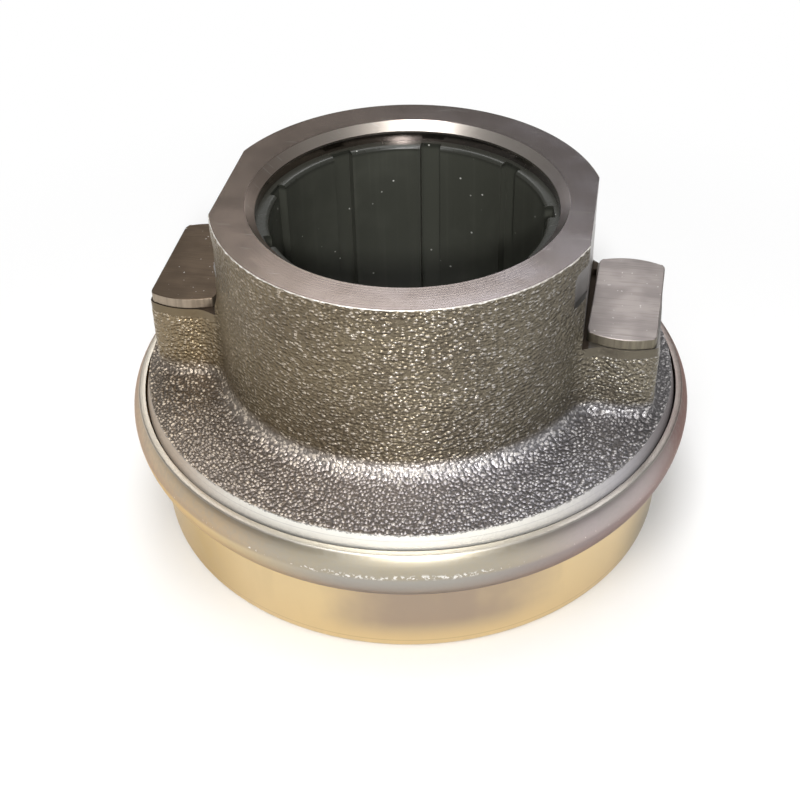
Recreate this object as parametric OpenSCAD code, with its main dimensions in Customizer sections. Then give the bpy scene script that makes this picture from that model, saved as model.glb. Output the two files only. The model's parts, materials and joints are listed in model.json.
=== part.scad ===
// Clutch release bearing: a cast carrier with a plastic-lined guide bore and two fork pads,
// and a thrust ring that turns on caged balls below its flange.
// Millimetres. +Z runs along the bore from the thrust face, at z = 0, to the top of the collar.

/* [Guide bush] */
// Diameter of the bore that slides on the guide tube
bore_d = 58; // [50:0.5:66]
// Wall of the bush
bush_t = 2.8; // [2.4:0.1:4]
// Number of axial grease grooves in the bore
groove_n = 9; // [6:1:10]
// Width of each groove
groove_w = 4.6; // [3:0.1:5]
// Depth of each groove
groove_depth = 1.7; // [1:0.1:2]
// Drop from the top of the collar to the end of the bush
bush_recess = 4.3; // [2.8:0.1:6]

/* [Carrier] */
// Wall of the collar outside the bush
collar_t = 9.4; // [8:0.1:12]
// Height of the collar above the edge of the flange
collar_h = 40.6; // [36:0.2:48]
// Draft of the collar's cast wall, in degrees
collar_draft = 0.6; // [0.2:0.1:1.5]
// Chamfer at the mouth of the bore
bore_chamfer = 1.9; // [1:0.1:2.3]
// Depth of the two flats milled on the collar
flat_depth = 2.4; // [1.8:0.1:3.5]
// Wall of the spigot that the bearing sits on
spigot_t = 8.2; // [6:0.1:10]
// Set-back of the spigot's end from the thrust face
spigot_setback = 2; // [1:0.1:4]
// Chamfers at the hidden end of the spigot
spigot_chamfer = 1; // [0.5:0.1:1.5]
// Thickness of the flange at its edge
flange_t = 7.5; // [6:0.1:10]
// How far the flange stands out past the thrust ring
flange_over = 0.75; // [0.5:0.05:1.5]
// Height of the turned bevel at the flange edge
bevel_h = 3.8; // [2:0.1:5]
// Radial width of that bevel
bevel_w = 0.85; // [0.5:0.05:1.5]
// Rise of the cast face from the flange edge to the collar
flange_rise = 0.8; // [0.4:0.1:1.5]
// Fillet at the foot of the collar
collar_fillet = 4; // [2:0.1:6]

/* [Corner notches] */
// Height of the notch milled at each corner of the flats
notch_h = 8; // [5:0.5:11]
// Lip left above each notch
notch_lip = 3.8; // [2:0.1:6]
// Depth of each notch below the round wall
notch_depth = 0.8; // [0.4:0.1:1.5]
// Reach of each notch round the wall from the edge of the flat
notch_reach = 5.5; // [3:0.5:8]
// Corner radius left by the cutter
notch_r = 1.8; // [1:0.1:2.4]

/* [Fork lugs] */
// Height of the pad seat above the flange edge
lug_h = 17.5; // [14:0.1:22]
// How far the cast lug stands out past its wear pad
lug_over = 0.4; // [0.2:0.1:1]
// Radius of the lug's outer upright edges
lug_edge = 2.2; // [1.2:0.1:3.5]
// Height of the smooth machined band round the top of the lug
band_h = 2.2; // [1:0.1:4]
// Depth of that band below the cast skin
band_depth = 0.15; // [0.1:0.05:0.3]
// Fillet at the foot of the lug
lug_fillet = 3; // [1.5:0.1:4]
// Fillet between the lug and the collar
web_fillet = 5; // [3:0.1:7]
// Slot between the wear pad and the flat of the collar
slot_w = 1.1; // [0.6:0.1:2]
// Depth of that slot below the pad seat
slot_depth = 1.6; // [0.8:0.1:3]

/* [Wear pads] */
// Thickness of the wear pad
pad_t = 2.4; // [1.5:0.1:4]
// Width of the pad across its straight sides
pad_w = 14.3; // [11:0.1:16]
// Radius of the pad's rounded ends
pad_end_r = 15.3; // [13:0.1:19]
// Radius of the pad's corners
pad_corner = 1.2; // [0.6:0.1:2]
// Turn of the left pad on its lug, in degrees
left_pad_turn = 1; // [0:0.5:3]
// Turn of the right pad on its lug, in degrees
right_pad_turn = 2; // [0:0.5:3]

/* [Bearing] */
// Diameter of the balls
ball_d = 10; // [8:0.1:12]
// Number of balls
ball_n = 22; // [16:1:25]
// Wall of the inner ring behind its race
inner_ring_t = 4.5; // [3.5:0.1:6]
// Wall of the thrust ring behind its race
outer_ring_t = 3.7; // [3:0.1:5]
// Thickness of the thrust ring below the balls
ring_floor_t = 7.9; // [6:0.1:10]
// Thickness of the inner ring above the balls
inner_top_t = 7.8; // [6:0.1:10]
// Gap between a ball and each race
race_clear = 0.12; // [0.08:0.01:0.2]
// Height of the small lips that hold the balls in, as an angle up the race
lip_angle = 20; // [12:1:30]
// Radial narrowing of the thrust ring's outside towards the thrust face
ring_taper = 1.1; // [0.5:0.1:2]
// Rounding of the thrust ring's lower outer edge
ring_edge = 1.3; // [0.8:0.1:2]
// How far the thrust ring's floor reaches in past the ball centres
floor_reach = 1.6; // [1:0.1:2.5]
// Gap between the thrust ring and the underside of the flange
flange_gap = 1.3; // [0.8:0.1:2]
// Chamfer on the edges of both rings
ring_chamfer = 0.6; // [0.3:0.1:1]

/* [Cage and seal] */
// Gap between a ball and its pocket in the cage
pocket_clear = 0.15; // [0.1:0.01:0.25]
// Radial thickness of the cage bars between the balls
bar_t = 4; // [2.5:0.1:4.6]
// Height of the continuous ring of the cage above the balls
cage_ring_h = 2.6; // [1.5:0.1:3.5]
// Gap between the cage and the two rings
cage_clear = 0.5; // [0.3:0.05:0.8]
// Height of the front seal
seal_h = 2.6; // [1.8:0.1:4]
// Set-back of the seal from the thrust face
seal_setback = 1; // [0.6:0.1:2]
// Running gap between the seal and the inner ring
seal_gap = 0.3; // [0.2:0.05:0.6]
// Thickness of the seal's lip
seal_lip = 0.8; // [0.5:0.1:1.2]

/* [Dust cover] */
// Sheet thickness of the cover
cover_t = 1; // [0.8:0.1:1.5]
// Running gap between the cover's lip and the flange edge
cover_gap = 0.3; // [0.2:0.05:0.6]
// Drop from the flange edge to the cover's lip
lip_drop = 3; // [2:0.1:4]
// Height of the rounded shoulder between lip and ridge
shoulder_h = 4.5; // [3.5:0.1:6]
// How far the ridge stands out past the lip
ridge_out = 3.05; // [2.5:0.05:4]
// Height of the skirt between ridge and lower edge
skirt_h = 7.4; // [6:0.1:8.5]

/* [Hidden] */
$fn = 128;
// Play left between pieces that are pressed together
press_clear = 0.02;
// Overlap that lets cuts and fillets cross a face cleanly
cut = 1;
blend = 0.05;

// Radii, worked outwards from the bore
bore_r = bore_d / 2;
bush_r = bore_r + bush_t;
housing_r = bush_r + press_clear;
collar_r = housing_r + collar_t;
flat_x = collar_r - flat_depth;
spigot_r = housing_r + spigot_t;
ball_r = ball_d / 2;
race_r = ball_r + race_clear;
inner_bore_r = spigot_r + press_clear;
pitch_r = inner_bore_r + inner_ring_t + race_r;
ring_r = pitch_r + race_r + outer_ring_t;
flange_r = ring_r + flange_over;
flange_top_r = flange_r - bevel_w;
inner_lip_r = pitch_r - race_r * cos(lip_angle);
outer_lip_r = pitch_r + race_r * cos(lip_angle);
floor_r = pitch_r - floor_reach;

// Heights, worked upwards from the thrust face
ball_z = ring_floor_t + race_r;
race_top_z = ball_z + race_r;
flange_z = race_top_z + inner_top_t;
edge_z = flange_z + flange_t;
top_z = edge_z + collar_h;
seat_z = edge_z + lug_h;
ridge_z = edge_z - lip_drop - shoulder_h;
skirt_z = ridge_z - skirt_h;
bush_top_z = top_z - bush_recess;
bush_z = spigot_setback + spigot_chamfer;

// Foot of the collar, and the pitch of the cast face that rises to it
foot_r = collar_r + (top_z - edge_z) * tan(collar_draft);
flange_pitch = atan(flange_rise / (flange_top_r - foot_r));

// Pad and lug places
pad_x = flat_x + slot_w + pad_w / 2;
lug_r = pad_end_r + lug_over;
lug_out = pad_w / 2 + lug_over;
lug_in = pad_w / 2 + slot_w + flat_depth;
lug_foot_z = edge_z + flange_rise / 4;
lug_edge_c = [lug_out - lug_edge, sqrt(pow(lug_r - lug_edge, 2) - pow(lug_out - lug_edge, 2))];
lug_step = atan2(lug_edge_c.y, lug_edge_c.x) / 3;
lug_turns = [-2 * lug_step, -lug_step, 0, lug_step, 2 * lug_step];

BALLS = [for (i = [1 : ball_n]) str("ball_", i < 10 ? "0" : "", i)];

// Height of the cast face at radius r
function face_z(r) = edge_z + (flange_top_r - r) * tan(flange_pitch);

// Outer radius of a rolled sheet that starts upright and closes in by a over the height h
function roll_r(a, h) = (a * a - cover_t * cover_t + h * h) / (2 * (a - cover_t));

// Point where two upright planes meet, given their turns and their distances from the lug's axis
function corner(a1, d1, a2, d2) =
    [d1 * sin(a2) - d2 * sin(a1), d2 * cos(a1) - d1 * cos(a2)] / sin(a2 - a1);

// Distance of the plane turned by a from the lug's axis: the outer side, or one that rounds its edge
function wall_reach(a) =
    a == 0 ? lug_out : lug_edge_c.x * cos(a) + lug_edge_c.y * abs(sin(a)) + lug_edge;

// Plan of the lug: round ends, flat outer side and broken outer edges, all moved out by grow
module lug_outline(grow) {
    edge = [
        for (i = [0 : len(lug_turns) - 2])
            corner(lug_turns[i], wall_reach(lug_turns[i]) + grow,
                   lug_turns[i + 1], wall_reach(lug_turns[i + 1]) + grow)
    ];
    last = edge[len(edge) - 1];
    tip = last + 2 * lug_r * [-sin(lug_turns[len(lug_turns) - 1]), cos(lug_turns[len(lug_turns) - 1])];
    intersection() {
        circle(lug_r + grow);
        polygon(concat([[-lug_in, -tip.y], [tip.x, -tip.y]], edge, [tip, [-lug_in, tip.y]]));
    }
}

// One cast lug round its own upright axis, outward side towards +X
module lug() {
    base_z = flange_z + cut;
    fillet_z = lug_foot_z + lug_fillet;
    translate([0, 0, base_z]) linear_extrude(seat_z - base_z) lug_outline(-band_depth);
    translate([0, 0, base_z]) linear_extrude(seat_z - band_h - base_z) lug_outline(0);
    difference() {
        translate([0, 0, base_z]) linear_extrude(fillet_z - base_z) lug_outline(lug_fillet - blend);
        rotate_extrude() translate([lug_r + lug_fillet, fillet_z]) circle(lug_fillet + blend);
        for (a = lug_turns)
            rotate([0, 0, a])
                translate([wall_reach(a) + lug_fillet, 0, fillet_z])
                    rotate([90, 0, 0])
                        cylinder(r = lug_fillet + blend, h = 4 * lug_r, center = true);
    }
}

// Upright fillets that lead the collar's wall into both ends of a lug
module web() {
    collar_side = foot_r + web_fillet;
    lug_side = lug_r + web_fillet;
    web_x = (collar_side * collar_side - lug_side * lug_side + pad_x * pad_x) / (2 * pad_x);
    web_y = sqrt(collar_side * collar_side - web_x * web_x);
    for (side = [-1, 1])
        translate([0, 0, flange_z + cut])
            linear_extrude(seat_z - flange_z - cut)
                difference() {
                    polygon([[housing_r + cut, 0], [pad_x, 0], [web_x, side * web_y]]);
                    translate([web_x, side * web_y]) circle(web_fillet + blend);
                }
}

// Section of the turned and cast body of the carrier
module carrier_section() {
    fillet_x = foot_r + collar_fillet;
    fillet_z = face_z(fillet_x) + collar_fillet / cos(flange_pitch);
    polygon([
        [housing_r + spigot_chamfer, spigot_setback],
        [spigot_r - spigot_chamfer, spigot_setback],
        [spigot_r, spigot_setback + spigot_chamfer],
        [spigot_r, flange_z],
        [flange_r, flange_z],
        [flange_r, edge_z - bevel_h],
        [flange_top_r, edge_z],
        [foot_r, face_z(foot_r)],
        [collar_r, top_z],
        [housing_r + bore_chamfer, top_z],
        [housing_r, top_z - bore_chamfer],
        [housing_r, spigot_setback + spigot_chamfer]
    ]);
    difference() {
        polygon([
            [foot_r - cut, face_z(foot_r) - cut],
            [fillet_x + collar_fillet * sin(flange_pitch), face_z(fillet_x) - cut / 2],
            [fillet_x, fillet_z],
            [foot_r - cut, fillet_z]
        ]);
        translate([fillet_x, fillet_z]) circle(collar_fillet + blend);
    }
}

// Flat of the collar above the lug, with the slot that keeps the wear pad clear of it
module flat_cut() {
    translate([flat_x, -collar_r, seat_z]) cube([2 * collar_r, 2 * collar_r, top_z]);
    translate([flat_x, -collar_r, seat_z - slot_depth]) cube([slot_w, 2 * collar_r, slot_depth + cut]);
}

// Shallow notch that runs from the edge of a flat round the collar's wall
module notch_cut() {
    half = acos(flat_x / collar_r);
    run = notch_reach - notch_r;
    rotate([0, 0, half])
        translate([collar_r - notch_depth, 0, top_z - notch_lip - notch_h])
            rotate([90, 0, 90])
                linear_extrude(notch_depth + cut + collar_h * tan(collar_draft))
                    union() {
                        translate([-notch_reach, 0]) square([notch_reach + run, notch_h]);
                        square([notch_reach, notch_h - notch_r]);
                        translate([run, notch_h - notch_r]) circle(notch_r);
                    }
}

module carrier_sleeve() {
    color("#4b473f")
        difference() {
            union() {
                rotate_extrude() carrier_section();
                intersection() {
                    union() {
                        for (side = [0, 1])
                            mirror([side, 0, 0])
                                union() {
                                    translate([pad_x, 0, 0]) lug();
                                    web();
                                }
                    }
                    cylinder(r = flange_top_r - blend, h = seat_z);
                }
            }
            for (side = [0, 1])
                mirror([side, 0, 0])
                    union() {
                        flat_cut();
                        notch_cut();
                        mirror([0, 1, 0]) notch_cut();
                    }
        }
}

module guide_bush() {
    color("#12140f")
        difference() {
            translate([0, 0, bush_z]) cylinder(r = bush_r, h = bush_top_z - bush_z);
            translate([0, 0, bush_z - cut]) cylinder(r = bore_r, h = bush_top_z - bush_z + 2 * cut);
            for (i = [0 : groove_n - 1])
                rotate([0, 0, 90 + i * 360 / groove_n])
                    translate([bore_r - cut, -groove_w / 2, bush_z - cut])
                        cube([groove_depth + cut, groove_w, bush_top_z - bush_z + 2 * cut]);
        }
}

// Corner to take off a pad outline, outside the rounding circle
module pad_corner_cut() {
    half = pad_w / 2;
    c = [half - pad_corner, sqrt(pow(pad_end_r - pad_corner, 2) - pow(half - pad_corner, 2))];
    difference() {
        polygon([c, [half + cut, c.y], [half + cut, pad_end_r + cut], c * (pad_end_r + cut) / norm(c)]);
        translate(c) circle(pad_corner);
    }
}

module pad_outline() {
    difference() {
        intersection() {
            circle(pad_end_r);
            square([pad_w, 2 * pad_end_r], center = true);
        }
        for (sx = [0, 1])
            for (sy = [0, 1])
                mirror([sx, 0]) mirror([0, sy]) pad_corner_cut();
    }
}

module wear_pad(turn) {
    translate([pad_x, 0, seat_z])
        rotate([0, 0, -turn])
            linear_extrude(pad_t)
                pad_outline();
}

module wear_pad_left() {
    color("#57493a") mirror([1, 0, 0]) wear_pad(left_pad_turn);
}

module wear_pad_right() {
    color("#8a837c") wear_pad(right_pad_turn);
}

// Round section of the ball race, centred on the balls
module race_section() {
    translate([pitch_r, ball_z]) circle(race_r);
}

module inner_ring() {
    low_z = spigot_setback + spigot_chamfer;
    top_r = pitch_r - cage_clear / 2;
    color("#9a958c")
        rotate_extrude()
            difference() {
                polygon([
                    [inner_bore_r + ring_chamfer, low_z],
                    [inner_lip_r - ring_chamfer, low_z],
                    [inner_lip_r, low_z + ring_chamfer],
                    [inner_lip_r, ball_z],
                    [top_r, ball_z],
                    [top_r, flange_z - ring_chamfer],
                    [top_r - ring_chamfer, flange_z],
                    [inner_bore_r + ring_chamfer, flange_z],
                    [inner_bore_r, flange_z - ring_chamfer],
                    [inner_bore_r, low_z + ring_chamfer]
                ]);
                race_section();
            }
}

module outer_ring() {
    ring_top_z = flange_z - flange_gap;
    edge_r = ring_r - ring_taper;
    round_c = [edge_r - ring_edge, ring_edge];
    color("#b09d78")
        rotate_extrude()
            difference() {
                polygon([
                    [floor_r, ring_chamfer],
                    [floor_r + ring_chamfer, 0],
                    [edge_r, 0],
                    [edge_r, ring_edge],
                    [ring_r, skirt_z - cut],
                    [ring_r, ring_top_z],
                    [outer_lip_r, ring_top_z],
                    [outer_lip_r, ball_z],
                    [floor_r, ball_z]
                ]);
                difference() {
                    translate([round_c.x, -cut]) square([ring_edge + cut, ring_edge + cut]);
                    translate(round_c) circle(ring_edge);
                }
                race_section();
            }
}

module ball_cage() {
    bar_h = 2 * race_r - 4 * cage_clear;
    ring_in = pitch_r + cage_clear;
    ring_top = race_top_z + cage_ring_h;
    pocket_r = ball_r + pocket_clear;
    color("#3d3a30")
        difference() {
            rotate_extrude()
                union() {
                    translate([pitch_r, ball_z]) square([bar_t, bar_h], center = true);
                    translate([ring_in, ball_z + ball_r / 2])
                        square([outer_lip_r - cage_clear - ring_in, ring_top - ball_z - ball_r / 2]);
                }
            for (i = [1 : ball_n]) ball_place(i) sphere(pocket_r);
        }
}

module front_seal() {
    seal_out = floor_r - press_clear;
    lip_in = inner_lip_r + seal_gap;
    color("#1d1c1a")
        rotate_extrude()
            translate([0, seal_setback])
                polygon([
                    [lip_in, 0],
                    [seal_out, 0],
                    [seal_out, seal_h],
                    [seal_out - seal_lip, seal_h],
                    [seal_out - seal_lip, seal_lip],
                    [lip_in + seal_lip, seal_lip],
                    [lip_in, 1.5 * seal_lip]
                ]);
}

// Rolled sheet that starts upright at the ridge and closes in by a over the height h
module rolled_section(ridge_r, a, h) {
    r = roll_r(a, h);
    intersection() {
        translate([ridge_r - r, 0])
            difference() {
                circle(r);
                circle(r - cover_t);
            }
        translate([ridge_r - a - cut, 0]) square([a + 2 * cut, h]);
    }
}

module dust_cover() {
    lip_r = flange_r + cover_gap;
    ridge_r = lip_r + ridge_out;
    color("#a59c90")
        rotate_extrude()
            translate([0, ridge_z])
                union() {
                    rolled_section(ridge_r, ridge_out, shoulder_h);
                    mirror([0, 1]) rolled_section(ridge_r, ridge_r - ring_r - press_clear, skirt_h);
                }
}

module ball_place(i) {
    rotate([0, 0, i * 360 / ball_n]) translate([pitch_r, 0, ball_z]) children();
}

module ball(i) {
    color("#c9c9c6") ball_place(i) sphere(ball_r);
}

carrier_sleeve();
guide_bush();
wear_pad_left();
wear_pad_right();
inner_ring();
outer_ring();
ball_cage();
front_seal();
dust_cover();
for (i = [1 : ball_n])
    ball(i);
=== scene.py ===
"""Looks of a clutch release bearing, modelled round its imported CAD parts."""

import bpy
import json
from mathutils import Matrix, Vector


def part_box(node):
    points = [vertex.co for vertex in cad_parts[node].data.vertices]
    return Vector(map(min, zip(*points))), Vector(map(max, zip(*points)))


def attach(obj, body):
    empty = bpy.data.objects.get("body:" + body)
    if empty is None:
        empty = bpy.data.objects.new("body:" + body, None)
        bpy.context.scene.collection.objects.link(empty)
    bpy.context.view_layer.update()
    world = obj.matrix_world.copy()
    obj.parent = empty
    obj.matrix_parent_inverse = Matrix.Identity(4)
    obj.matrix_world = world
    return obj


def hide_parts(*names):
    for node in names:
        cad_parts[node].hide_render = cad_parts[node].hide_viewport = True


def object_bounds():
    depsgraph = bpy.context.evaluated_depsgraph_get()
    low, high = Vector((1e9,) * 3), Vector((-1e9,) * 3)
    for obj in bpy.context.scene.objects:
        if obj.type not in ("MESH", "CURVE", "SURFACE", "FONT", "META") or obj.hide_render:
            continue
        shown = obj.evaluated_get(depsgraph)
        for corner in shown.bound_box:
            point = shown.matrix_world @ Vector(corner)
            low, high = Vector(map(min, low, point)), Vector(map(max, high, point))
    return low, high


bl_info = {
    "name": "Clutch Release Bearing",
    "version": (1, 0, 0),
    "blender": (4, 5, 0),
    "location": "View3D > Sidebar > Bearing",
    "description": "Builds the finished pieces of a clutch release bearing and its studio stage",
    "category": "Object",
}

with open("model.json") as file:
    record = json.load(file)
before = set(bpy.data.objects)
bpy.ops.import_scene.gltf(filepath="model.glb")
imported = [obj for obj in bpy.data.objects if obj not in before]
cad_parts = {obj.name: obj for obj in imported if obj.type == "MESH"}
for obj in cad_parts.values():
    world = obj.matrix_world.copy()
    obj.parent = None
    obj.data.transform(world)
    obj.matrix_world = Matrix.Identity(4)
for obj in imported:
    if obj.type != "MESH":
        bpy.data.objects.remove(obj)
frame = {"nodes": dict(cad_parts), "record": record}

import json
import math

import bmesh
import bpy
from bpy.props import FloatProperty, FloatVectorProperty, IntProperty, PointerProperty
from mathutils import Matrix, Vector, noise

CAD_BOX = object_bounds()
MM = 0.001
HAIR = 0.0001 * MM
WELD = 0.001 * MM
NEARLY = 0.01 * MM
STEPS = 192
SMOOTH_ANGLE = math.radians(34)
FLAT_ANGLE = math.radians(13)
FOLD_ANGLE = math.radians(5)
RIM_ANGLE = 1.2
WHITE = (1.0, 1.0, 1.0)
MOUNTS = {mount["name"]: mount for mount in frame["record"]["mounts"]}


def low(node):
    """Height of the underside of a CAD node."""
    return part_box(node)[0].z


def high(node):
    """Height of the top of a CAD node."""
    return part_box(node)[1].z


def reach(node):
    """Outer radius of a round CAD node."""
    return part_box(node)[1].x


def pad_centre(node):
    """Distance of a wear pad's middle from the bore axis."""
    lowest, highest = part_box(node)
    return abs(lowest.x + highest.x) / 2


def length(name, description, default):
    """A size in metres that a user may change."""
    return FloatProperty(name=name, description=description, default=default, min=0.0,
                         precision=5, subtype="DISTANCE", unit="LENGTH")


def turn_angle(name, description, degrees):
    """An angle that a user may change."""
    return FloatProperty(name=name, description=description, default=math.radians(degrees),
                         subtype="ANGLE", unit="ROTATION")


def number(name, description, default):
    """A plain number that a user may change."""
    return FloatProperty(name=name, description=description, default=default)


def count(name, description, default):
    """A whole number that a user may change."""
    return IntProperty(name=name, description=description, default=default, min=2)


def colour(name, description, default):
    """A linear colour that a user may change."""
    return FloatVectorProperty(name=name, description=description, default=default, size=3,
                               min=0.0, max=1.0, subtype="COLOR")


def shade(tone, factor):
    """A darker or paler version of a colour."""
    return [min(1.0, part * factor) for part in tone]


class BEARING_PG_carrier(bpy.types.PropertyGroup):
    """Sizes and colours of the cast carrier"""

    bore_r: length("Housing bore", "Radius of the bore that holds the bush",
                   reach("guide_bush") + 0.02 * MM)
    bore_chamfer: length("Mouth chamfer", "Chamfer at the mouth of the bore", 1.9 * MM)
    collar_r: length("Collar radius", "Radius of the cast collar at its top", 41.22 * MM)
    collar_draft: turn_angle("Collar draft", "Draft of the collar's cast wall", 0.6)
    collar_fillet: length("Collar fillet", "Fillet at the foot of the collar", 4.0 * MM)
    flange_edge_z: length("Flange edge", "Height of the flange's turned edge", 33.44 * MM)
    flange_rise: length("Flange rise", "Rise of the cast face from edge to collar", 0.8 * MM)
    bevel_h: length("Bevel height", "Height of the turned bevel at the flange edge", 3.8 * MM)
    bevel_w: length("Bevel width", "Radial width of that bevel", 0.85 * MM)
    spigot_r: length("Spigot radius", "Radius of the spigot that the bearing sits on", 40.02 * MM)
    spigot_chamfer: length("Spigot chamfer", "Chamfers at the end of the spigot", 1.0 * MM)
    edge_break: length("Edge break", "Radial width of the burr left at the collar's top edge", 0.16 * MM)
    flat_x: length("Flat distance", "Distance of each milled flat from the bore axis", 38.82 * MM)
    slot_w: length("Slot width", "Slot between wear pad and collar flat", 1.1 * MM)
    slot_depth: length("Slot depth", "Depth of that slot below the pad seat", 1.6 * MM)
    slot_run: length("Slot run", "Length of that slot", 26.8 * MM)
    notch_h: length("Notch height", "Height of the notch at each corner of the flats", 8.0 * MM)
    notch_lip: length("Notch lip", "Lip left above each notch", 3.8 * MM)
    notch_depth: length("Notch depth", "Depth of each notch below the round wall", 0.8 * MM)
    notch_reach: length("Notch reach", "Reach of each notch round the wall", 5.5 * MM)
    notch_r: length("Notch corner", "Corner radius left by the cutter", 1.8 * MM)
    lug_r: length("Lug radius", "Radius of the lug's round ends", 15.7 * MM)
    lug_out: length("Lug reach", "Reach of the lug outwards from its axis", 7.55 * MM)
    web_r: length("Web fillet", "Fillet between lug and collar", 4.0 * MM)
    band_h: length("Band height", "Height of the smooth band round the top of the lug", 2.2 * MM)
    band_sink: length("Band depth", "Depth of that band below the cast skin", 0.15 * MM)
    voxel: length("Casting detail", "Size of the casting's mesh cells", 0.6 * MM)
    dark: colour("Cast dark", "Darker patches of the cast skin", (0.175, 0.153, 0.106))
    skin: colour("Cast skin", "Middle tone of the cast skin", (0.225, 0.199, 0.135))
    # Painted light: the paler tone of the left lug, which catches more of the light.
    lug: colour("Cast lug", "Paler skin on the left lug", (0.4, 0.35, 0.24))
    # Partly painted light: the flange face's own tone, made greyer to stand in for cool light from the back
    # and above.
    flange: colour("Cast flange", "Greyer skin on the face of the flange", (0.22, 0.212, 0.206))
    # Painted highlight: the pale band along the front of the fillets, where light catches them.
    foot: colour("Cast foot", "Paler skin in the fillets at the foot of the collar and lugs",
                 (0.5, 0.5, 0.48))
    # Painted glint: the colour laid on the grain tips, most where light would catch them.
    glint: colour("Cast glint", "Tips of the cast grain", (0.85, 0.82, 0.72))
    # Painted light: a warm cast on the left and a cool one on the right, as the light falls.
    tint_left: colour("Tint, left", "Warm tint of the skin's left side", (1.0, 0.88, 0.78))
    tint_right: colour("Tint, right", "Cool tint of the skin's right side", (0.86, 0.86, 0.95))
    # Painted light: the turned faces are warm on the left and cool on the right, as the light falls.
    turned: colour("Turned iron", "Lathe-turned faces, left side", (0.42, 0.335, 0.28))
    turned_cool: colour("Turned iron, cool", "Lathe-turned faces, right side", (0.395, 0.355, 0.36))
    scratch: colour("Scratches", "Scratches on the turned faces", (0.7, 0.68, 0.64))
    burr: colour("Burr", "Torn metal at the collar's top edge", (0.6, 0.56, 0.5))
    burr_pale: colour("Burr, pale", "Bright spots of that torn metal", (0.95, 0.92, 0.86))
    # Painted highlight: the bright colour of the mouth chamfer, towards the back of the bore.
    mouth: colour("Mouth", "Brighter cut of the chamfer at the mouth of the bore", (0.8, 0.74, 0.66))
    # Painted light: a highlight on the bevel's front, warm and cool light on its sides and shade at its
    # right end.
    rim: colour("Rim bevel", "Bright front of the bevel at the flange edge", (0.9, 0.88, 0.82))
    rim_left: colour("Rim bevel, left", "Left side of that bevel", (0.46, 0.38, 0.3))
    rim_right: colour("Rim bevel, right", "Right side of that bevel", (0.41, 0.395, 0.41))
    rim_end_shade: colour("Rim bevel, end", "Dull right end of that bevel", (0.17, 0.15, 0.15))
    milled: colour("Milled iron", "Milled flats and notches", (0.34, 0.325, 0.315))
    # Painted shade: the dark colour laid in the slots beside the wear pads and on the left pad's seat
    # ledge.
    slot_shade: colour("Grime", "Dark dirt in the slots beside the wear pads", (0.075, 0.058, 0.045))


class BEARING_PG_bush(bpy.types.PropertyGroup):
    """Sizes and colours of the bush in the bore"""

    bore_r: length("Guide bore", "Radius that slides on the guide tube",
                   MOUNTS["guide_bore"]["dims"]["r_mm"] * MM)
    lead_in: length("Lead-in", "Rounding at the mouth of the bush", 0.9 * MM)
    groove_n: count("Grooves", "Number of axial grease grooves", 9)
    groove_w: length("Groove width", "Width of each groove", 4.6 * MM)
    groove_depth: length("Groove depth", "Depth of each groove", 1.7 * MM)
    tone: colour("Bush", "Moulded black plastic", (0.046, 0.0475, 0.038))
    speck: colour("Specks", "Pale dust and scuffs", (0.5, 0.5, 0.46))


class BEARING_PG_pads(bpy.types.PropertyGroup):
    """Sizes and colours of the two wear pads"""

    width: length("Pad width", "Width across the straight sides", 14.3 * MM)
    end_r: length("End radius", "Radius of the rounded ends", 15.3 * MM)
    corner_r: length("Corner radius", "Radius of the corners", 1.2 * MM)
    edge_r: length("Edge rounding", "Rounding of the upper and lower edges", 0.22 * MM)
    left_turn: turn_angle("Left turn", "Turn of the left pad on its lug", 1.0)
    right_turn: turn_angle("Right turn", "Turn of the right pad on its lug", -2.0)
    left: colour("Left pad", "Top of the darker, browned pad", (0.125, 0.091, 0.063))
    left_side: colour("Left pad side", "Sides of that pad", (0.39, 0.32, 0.245))
    right: colour("Right pad", "Top of the bright milled pad", (0.395, 0.352, 0.337))
    right_side: colour("Right pad side", "Sides of that pad", (0.23, 0.205, 0.155))
    fleck: colour("Flecks", "Small bright flecks on both pads", (0.75, 0.73, 0.7))


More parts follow.
